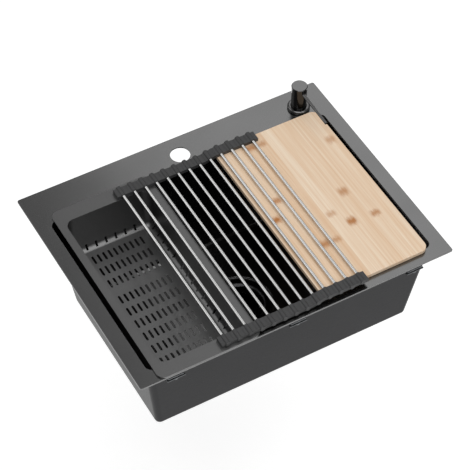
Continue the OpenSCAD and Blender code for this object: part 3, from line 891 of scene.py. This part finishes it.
@dataclass
class BeadTree(GrowingTree):
    """A bead that follows a rectangle with round corners, such as a weld, with ripples about 4 mm apart."""

    name: str = "bead"
    numbers: tuple[str, ...] = ("Width", "Depth", "Corner", "Bead", "Ripple", "Step", "Seed")
    corner_steps: int = 8
    bead_sides: int = 6
    ripples_per_metre: float = 260.0

    def grow(self) -> Socket:
        """Rounds the path's corners, sweeps the bead along it, and ripples it as the torch moved."""
        path = add_node(
            self.tree,
            "GeometryNodeCurvePrimitiveQuadrilateral",
            inputs={"Width": self.asked("Width"), "Height": self.asked("Depth")},
        )
        bent = add_node(
            self.tree,
            "GeometryNodeFilletCurve",
            {"mode": "POLY"},
            {"Curve": path.outputs[0], "Count": self.corner_steps, "Radius": self.asked("Corner")},
        )
        fine = add_node(
            self.tree,
            "GeometryNodeResampleCurve",
            {"mode": "LENGTH"},
            {"Curve": bent.outputs[0], "Length": self.asked("Step")},
        )
        section = add_node(
            self.tree,
            "GeometryNodeCurvePrimitiveCircle",
            inputs={"Resolution": self.bead_sides, "Radius": self.asked("Bead")},
        )
        swept = add_node(
            self.tree,
            "GeometryNodeCurveToMesh",
            inputs={"Curve": fine.outputs[0], "Profile Curve": section.outputs[0]},
        )
        noise = add_node(
            self.tree,
            "ShaderNodeTexNoise",
            {"noise_dimensions": "4D"},
            {"W": self.asked("Seed"), "Scale": self.ripples_per_metre, "Detail": 1.0},
        )
        balanced = add_node(
            self.tree,
            "ShaderNodeVectorMath",
            {"operation": "SUBTRACT"},
            {0: noise.outputs["Color"], 1: (0.5, 0.5, 0.5)},
        )
        shift = add_node(
            self.tree,
            "ShaderNodeVectorMath",
            {"operation": "SCALE"},
            {0: balanced.outputs[0], "Scale": self.asked("Ripple")},
        )
        rippled = add_node(
            self.tree,
            "GeometryNodeSetPosition",
            inputs={"Geometry": swept.outputs[0], "Offset": shift.outputs[0]},
        )
        return rippled.outputs[0]


@dataclass
class StudTree(GrowingTree):
    """Low studs in a grid over a pad."""

    name: str = "studs"
    numbers: tuple[str, ...] = ("Width", "Depth", "Stud", "Height")
    counts: tuple[str, ...] = ("Across", "Along")
    stud_sides: int = 12
    narrowing: float = 0.7

    def grow(self) -> Socket:
        """Sets a flat cone, with its narrow end down, on each point of a grid."""
        grid = add_node(
            self.tree,
            "GeometryNodeMeshGrid",
            inputs={
                "Size X": self.asked("Width"),
                "Size Y": self.asked("Depth"),
                "Vertices X": self.asked("Across"),
                "Vertices Y": self.asked("Along"),
            },
        )
        foot = sums(self.tree, "MULTIPLY", self.asked("Stud"), self.narrowing)
        stud = add_node(
            self.tree,
            "GeometryNodeMeshCone",
            inputs={
                "Vertices": self.stud_sides,
                "Radius Top": self.asked("Stud"),
                "Radius Bottom": foot,
                "Depth": self.asked("Height"),
            },
        )
        set_out = add_node(
            self.tree,
            "GeometryNodeInstanceOnPoints",
            inputs={"Points": grid.outputs[0], "Instance": stud.outputs[0]},
        )
        return set_out.outputs[0]


@dataclass
class Toolbox:
    """The trees that the sub-assemblies share, and a thread's ridge, in parts of its pitch."""

    helix: HelixTree = field(default_factory=HelixTree)
    ribs: RibTree = field(default_factory=RibTree)
    bead: BeadTree = field(default_factory=BeadTree)
    studs: StudTree = field(default_factory=StudTree)
    ridge_sunk: float = 0.15
    ridge_size: float = 0.36
    ridge_sides: int = 4
    turn_steps: int = 40

    def thread(
        self,
        name: str,
        finish: Palette,
        slot: str,
        node: str,
        radius_mm: float,
        span_mm: tuple[float, float],
        pitch_mm: float = 2.0,
        around: tuple[Vector, Vector] | None = None,
    ) -> Piece:
        """Winds a thread's ridge on an upright shank.

        Args:
            name: The piece's name.
            finish: Its finish.
            slot: The record's material slot.
            node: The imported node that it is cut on.
            radius_mm: Radius of the shank.
            span_mm: Heights where the thread starts and ends.
            pitch_mm: Distance between turns.
            around: The box that it is centred in, where that isn't the node's own.

        Returns:
            The piece, riding with the node.
        """
        low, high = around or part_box(node)
        start_mm, end_mm = span_mm
        piece = self.helix.make(
            name,
            finish,
            Place=centred(low, high, start_mm * MM),
            Radius=(radius_mm - self.ridge_sunk * pitch_mm) * MM,
            Rise=(end_mm - start_mm) * MM,
            Turns=(end_mm - start_mm) / pitch_mm,
            Wire=self.ridge_size * pitch_mm * MM,
            Sides=self.ridge_sides,
            Steps=self.turn_steps,
        )
        return mounted(piece, body_of(node), slot)


# ---- sub-assemblies


@dataclass
class DeckAndBowl:
    """The flat deck with the welded bowl and its sound pads.

    How deep the weld is sunk, and its ripple, are in parts of its size.
    """

    tools: Toolbox
    deck_edge_mm: float = 0.5
    bowl_edge_mm: float = 0.25
    edge_angle: float = 50.0
    weld_mm: float = 1.1
    weld_sunk: float = 0.6
    weld_ripple: float = 0.5
    weld_step_mm: float = 3.0
    weld_seed: float = 4.0
    bowl_middle: Vector = field(default_factory=lambda: Vector((0.0, -23.5, -90.0)) * MM)
    corner_mm: float = 13.0
    pad_edge_mm: float = 0.8
    pad_margin_mm: float = 8.0
    studs_across: int = 9
    studs_along: int = 14
    stud_mm: float = 3.0
    stud_height_mm: float = 0.8
    stud_sunk_mm: float = 0.1

    def deck(self) -> None:
        """Rounds the deck's outline, opening and tap holes."""
        rounded("deck", "deck_panel", Palette.DECK, "deck_steel", edge_mm=self.deck_edge_mm, steps=3)

    def basin(self) -> None:
        """Gives the bowl's inner and outer faces each their own coat; the outer one is darker, a painted
        shade.
        """
        piece = rounded(
            "basin", "bowl", Palette.SHADED_OUTER, "bowl_steel", edge_mm=self.bowl_edge_mm, sharp=self.edge_angle
        )
        piece.data.materials.append(Palette.BASIN.value.material())
        for face in piece.data.polygons:
            inward = (self.bowl_middle - face.center).dot(face.normal) > 0
            face.material_index = 1 if inward else 0

    def weld(self) -> None:
        """Runs the weld between the bowl and the deck's underside."""
        low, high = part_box("bowl")
        piece = self.tools.bead.make(
            "bowl_weld",
            Palette.SHADED_OUTER,
            Place=centred(low, high, high.z - self.weld_sunk * self.weld_mm * MM),
            Width=high.x - low.x,
            Depth=high.y - low.y,
            Corner=self.corner_mm * MM,
            Bead=self.weld_mm * MM,
            Ripple=self.weld_ripple * self.weld_mm * MM,
            Step=self.weld_step_mm * MM,
            Seed=self.weld_seed,
        )
        mounted(piece, body_of("bowl"), "bowl_steel")

    def pads(self) -> None:
        """Rounds the sound pads and sets studs on their undersides."""
        rounded("pads", "sound_pads", Palette.RUBBER, "rubber", edge_mm=self.pad_edge_mm)
        for number, (low, high) in enumerate(solids_of("sound_pads"), 1):
            size = high - low
            piece = self.tools.studs.make(
                f"pad_studs_{number}",
                Palette.RUBBER,
                Place=centred(low, high, low.z - self.stud_sunk_mm * MM),
                Width=size.x - 2 * self.pad_margin_mm * MM,
                Depth=size.y - 2 * self.pad_margin_mm * MM,
                Across=self.studs_across,
                Along=self.studs_along,
                Stud=self.stud_mm * MM,
                Height=self.stud_height_mm * MM,
            )
            mounted(piece, body_of("sound_pads"), "rubber")

    def build(self) -> None:
        """Builds every piece."""
        self.deck()
        self.basin()
        self.weld()
        self.pads()


@dataclass
class RimClips:
    """The six clips that pull the rim down on a worktop."""

    tools: Toolbox
    screw_r_mm: float = 2.5
    pitch_mm: float = 0.8
    head_mm: float = 4.0
    bare_tip_mm: float = 0.5

    def build(self) -> None:
        """Rounds the pressed pieces and threads the screws."""
        rounded("clip_rails", "clip_brackets", Palette.ZINC, "zinc", edge_mm=0.3)
        rounded("clip_hooks", "clip_claws", Palette.ZINC, "zinc", edge_mm=0.25)
        rounded("clip_bolts", "clip_screws", Palette.ZINC, "zinc", edge_mm=0.25)
        for number, (low, high) in enumerate(solids_of("clip_screws"), 1):
            self.tools.thread(
                f"clip_thread_{number}",
                Palette.ZINC,
                "zinc",
                "clip_screws",
                radius_mm=self.screw_r_mm,
                span_mm=(low.z / MM + self.head_mm, high.z / MM - self.bare_tip_mm),
                pitch_mm=self.pitch_mm,
                around=(low, high),
            )


@dataclass
class Drain:
    """The strainer in the bowl's floor, its seals and nuts, the tailpiece, and the lift-out basket."""

    tools: Toolbox
    cup_r_mm: float = 43.0
    outlet_r_mm: float = 23.0
    cup_thread_mm: tuple[float, float] = (-206.0, -190.0)
    outlet_thread_mm: tuple[float, float] = (-252.0, -238.0)
    rib_mm: float = 1.4
    rib_height_mm: float = 14.0
    rib_middle_mm: float = 9.0
    rib_inset_mm: float = 1.0
    rib_count: int = 8

    def strainer(self) -> None:
        """Rounds the strainer's flange and threads its cup and outlet."""
        rounded("strainer_cup", "strainer_body", Palette.SHADED_DRAIN, "drain_steel", edge_mm=0.35)
        for name, radius_mm, span_mm in (
            ("cup_thread", self.cup_r_mm, self.cup_thread_mm),
            ("outlet_thread", self.outlet_r_mm, self.outlet_thread_mm),
        ):
            self.tools.thread(name, Palette.SHADED_DRAIN, "drain_steel", "strainer_body", radius_mm, span_mm)

    def seals(self) -> None:
        """Finishes the gasket and the washers."""
        rounded("flange_gasket", "strainer_gasket", Palette.RUBBER, "rubber", edge_mm=0.5)
        rounded("friction_washer", "fibre_washer", Palette.FIBRE, "fibre", edge_mm=0.2)
        painted(Palette.PLASTIC, "tailpiece_washer")

    def nuts(self) -> None:
        """Rounds the two nuts and sets grip ribs round the coupling nut."""
        rounded("flange_nut", "lock_nut", Palette.ZINC, "zinc", edge_mm=0.6, steps=3)
        rounded("slip_nut", "coupling_nut", Palette.ZINC, "zinc", edge_mm=0.8, steps=3)
        low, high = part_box("coupling_nut")
        piece = self.tools.ribs.make(
            "slip_nut_ribs",
            Palette.ZINC,
            Place=centred(low, high, low.z + self.rib_middle_mm * MM),
            Radius=(high.x - low.x) / 2 - self.rib_inset_mm * MM,
            Height=self.rib_height_mm * MM,
            Rib=self.rib_mm * MM,
            Count=self.rib_count,
        )
        mounted(piece, body_of("coupling_nut"), "zinc")

    def pipe(self) -> None:
        """Rounds the tailpiece's ends."""
        rounded("waste_pipe", "tailpiece", Palette.PIPE, "drain_steel", edge_mm=0.35)

    def basket(self) -> None:
        """Rounds the basket, its knob and its stopper."""
        rounded("scrap_basket", "basket", Palette.SHADED_DRAIN, "drain_steel", edge_mm=0.3)
        rounded("lift_knob", "basket_knob", Palette.SHADED_DRAIN, "drain_steel", edge_mm=0.4)
        rounded("rubber_stopper", "basket_stopper", Palette.RUBBER, "rubber", edge_mm=0.8)

    def build(self) -> None:
        """Builds every piece."""
        self.strainer()
        self.seals()
        self.nuts()
        self.pipe()
        self.basket()


@dataclass
class SlidingColander:
    """The pressed tray with its folded rim and drain slots."""

    edge_mm: float = 0.3
    edge_angle: float = 50.0

    def build(self) -> None:
        """Rounds the rim, the well's mouth and the slots."""
        rounded(
            "sliding_colander",
            "colander",
            Palette.TRAY,
            "colander_steel",
            edge_mm=self.edge_mm,
            sharp=self.edge_angle,
        )


@dataclass
class CuttingBoard:
    """The bamboo board."""

    edge_mm: float = 1.2

    def build(self) -> None:
        """Rounds the board over all round."""
        rounded("cutting_board", "bamboo_board", Palette.BAMBOO, "bamboo", edge_mm=self.edge_mm, steps=4)


@dataclass
class RollUpRack:
    """The rods and the silicone strips that roll up together."""

    rod_edge_mm: float = 0.8
    strip_edge_mm: float = 0.5
    strip_angle: float = 40.0

    def build(self) -> None:
        """Rounds each rod's ends and each strip link's edges."""
        links = sorted(n for n in frame["nodes"] if n.startswith("rack_rod_"))
        for rod in links:
            number = rod.rsplit("_", 1)[1]
            rounded(f"rod_{number}", rod, Palette.ROD, "rod_steel", edge_mm=self.rod_edge_mm, steps=3)
            rounded(
                f"strip_link_{number}",
                f"rack_caps_{number}",
                Palette.SILICONE,
                "silicone",
                edge_mm=self.strip_edge_mm,
                sharp=self.strip_angle,
            )


@dataclass
class SoapDispenser:
    """The pump dispenser in the deck's back right corner.

    The head's flat top is what lies within cap_mm of its highest point and looks up by more than cap_level.
    """

    tools: Toolbox
    cap_mm: float = 0.1
    cap_level: float = 0.95
    wire_mm: float = 0.4
    wire_sides: int = 8
    coils: float = 11.0
    coil_steps: int = 24
    shank_r_mm: float = 15.9
    shank_thread_mm: tuple[float, float] = (-25.0, -13.0)
    shank_pitch_mm: float = 1.5
    travel_mm: float = 10.0

    def outside(self) -> None:
        """Rounds the plated pieces above the deck, and gives the head's flat top the deck's lighter coat: a
        ground finish and painted light together.
        """
        rounded("base_ring", "soap_base", Palette.LIT_TRIM, "black_metal", edge_mm=0.5, steps=3)
        head = rounded("head", "pump_head", Palette.SOAP, "black_metal", edge_mm=0.6, steps=3)
        head.data.materials.append(Palette.DECK.value.material())
        top = max(vertex.co.z for vertex in head.data.vertices)
        # The flat top gets the deck's lighter coat: a ground top, and painted light on the face that looks up.
        for face in head.data.polygons:
            lit_flat_top = face.normal.z > self.cap_level and face.center.z > top - self.cap_mm * MM
            face.material_index = 1 if lit_flat_top else 0
        rounded("spout", "soap_spout", Palette.LIT_TRIM, "black_metal", edge_mm=0.3)

    def below(self) -> None:
        """Rounds the pieces under the deck and threads the shank."""
        rounded("base_gasket", "soap_gasket", Palette.RUBBER, "rubber", edge_mm=0.2)
        rounded("shank_washer", "soap_washer", Palette.RUBBER, "rubber", edge_mm=0.3)
        rounded("shank_nut", "soap_nut", Palette.PLASTIC, "white_plastic", edge_mm=0.6, steps=3)
        rounded("bottle", "soap_bottle", Palette.PLASTIC, "white_plastic", edge_mm=1.2, steps=3)
        painted(Palette.PLASTIC, "pump_cylinder", "dip_tube", "pump_piston")
        span_mm, pitch_mm = self.shank_thread_mm, self.shank_pitch_mm
        self.tools.thread(
            "shank_thread", Palette.SOAP, "black_metal", "soap_base", self.shank_r_mm, span_mm, pitch_mm
        )

    def spring(self) -> None:
        """Winds the pump's spring at full length; it rides with its body and does not shorten as the head goes
        down.
        """
        low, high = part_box("pump_spring")
        piece = self.tools.helix.make(
            "return_spring",
            Palette.SPRING,
            Place=centred(low, high, low.z + self.wire_mm * MM),
            Radius=(high.x - low.x) / 2 - self.wire_mm * MM,
            Rise=high.z - low.z - 2 * self.wire_mm * MM,
            Turns=self.coils,
            Wire=self.wire_mm * MM,
            Sides=self.wire_sides,
            Steps=self.coil_steps,
        )
        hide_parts("pump_spring")
        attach(piece, body_of("pump_spring"))
        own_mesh(piece)

    def build(self) -> None:
        """Builds every piece."""
        self.outside()
        self.below()
        self.spring()


# ---- studio


@dataclass(frozen=True)
class SoftBox:
    """A rectangular soft light, with its place, size and aim in metres."""

    name: str
    place: Triple
    size: tuple[float, float]
    watts: float
    aim: Triple = (0.0, 0.0, 0.0)

    def hang(self) -> None:
        """Hangs the light and turns it to its aim."""
        lamp = bpy.data.lights.new(self.name, "AREA")
        lamp.shape = "RECTANGLE"
        lamp.size, lamp.size_y = self.size
        lamp.energy = self.watts
        made = new_object(self.name, lamp)
        made.location = self.place
        made.rotation_mode = "QUATERNION"
        made.rotation_quaternion = (Vector(self.aim) - Vector(self.place)).to_track_quat("-Z", "Y")


@dataclass
class Studio:
    """The pale floor, the soft lights and the camera, which was solved from the photo."""

    floor_z: float = -0.8
    floor_half: float = 9.0
    table_glow: float = 0.45
    sky: str = "#ffffff"
    sky_strength: float = 0.27
    eye: Vector = field(default_factory=lambda: Vector((-1036.16, -1793.49, 2396.42)) * MM)
    target: Vector = field(default_factory=lambda: Vector((-6.251, -18.155, 0.0)) * MM)
    camera_right: Vector = field(default_factory=lambda: Vector((0.86980, -0.49333, 0.00869)))
    lens_mm: float = 146.062
    sensor_mm: float = 36.0
    sight_m: float = 50.0
    boxes: tuple[SoftBox, ...] = (
        SoftBox("back_right_box", (1.85, 1.9, 2.4), (2.16, 2.4), 15.0, (1.85, 1.9, 0.0)),
        SoftBox("back_left_box", (-1.9, 2.26, 2.23), (2.4, 2.4), 17.0),
        SoftBox("front_box", (0.9, -2.9, 1.7), (2.6, 1.5), 14.0),
        SoftBox("top_box", (-0.2, -1.0, 3.0), (3.4, 3.4), 66.0),
    )

    def floor(self) -> None:
        """Lays a light table under the sink: a matt white sheet that glows a little, so that shadows fade."""
        half, height = self.floor_half, self.floor_z
        mesh = bpy.data.meshes.new("floor")
        corners = [(-half, -half, height), (half, -half, height), (half, half, height), (-half, half, height)]
        mesh.from_pydata(corners, [], [(0, 1, 2, 3)])
        sheet = Moulded(
            "matt white sheet", "#fbfbfb", "#f8f8f8", smooth=0.9, coarse=0.95, grit_mm=2.0, depth_mm=0.01
        ).material()
        shader = next(node for node in sheet.node_tree.nodes if node.type == "BSDF_PRINCIPLED")
        glow = {"Emission Color": linear(self.sky), "Emission Strength": self.table_glow}
        feed(sheet.node_tree, shader, glow)
        mesh.materials.append(sheet)
        new_object("floor", mesh)

    def light(self) -> None:
        """Lights the scene with an even sky and the soft boxes."""
        world = bpy.data.worlds.new("studio")
        world.use_nodes = True
        sky = world.node_tree.nodes["Background"]
        sky.inputs["Color"].default_value = linear(self.sky)
        sky.inputs["Strength"].default_value = self.sky_strength
        bpy.context.scene.world = world
        for box in self.boxes:
            box.hang()

    def camera(self) -> None:
        """Stands the camera where the photographer stood."""
        lens = bpy.data.cameras.new("camera")
        lens.lens = self.lens_mm
        lens.sensor_width = self.sensor_mm
        lens.clip_end = self.sight_m
        made = new_object("camera", lens)
        back = (self.eye - self.target).normalized()
        right = (self.camera_right - back * self.camera_right.dot(back)).normalized()
        up = back.cross(right)
        turn = Matrix((right, up, back)).transposed().to_4x4()
        made.matrix_world = Matrix.Translation(self.eye) @ turn
        bpy.context.scene.camera = made

    def build(self) -> None:
        """Sets up the camera, the lights and the floor."""
        bpy.context.scene.view_settings.view_transform = "Standard"
        self.camera()
        self.light()
        self.floor()


def main() -> None:
    """Builds the studio and every sub-assembly."""
    logging.basicConfig(level=logging.INFO, format="%(name)s: %(message)s")
    Studio().build()
    tools = Toolbox()
    for part in (
        DeckAndBowl(tools),
        RimClips(tools),
        Drain(tools),
        SlidingColander(),
        CuttingBoard(),
        RollUpRack(),
        SoapDispenser(tools),
    ):
        part.build()
        LOG.info("%s is dressed", type(part).__name__)


if __name__ == "__main__":
    main()
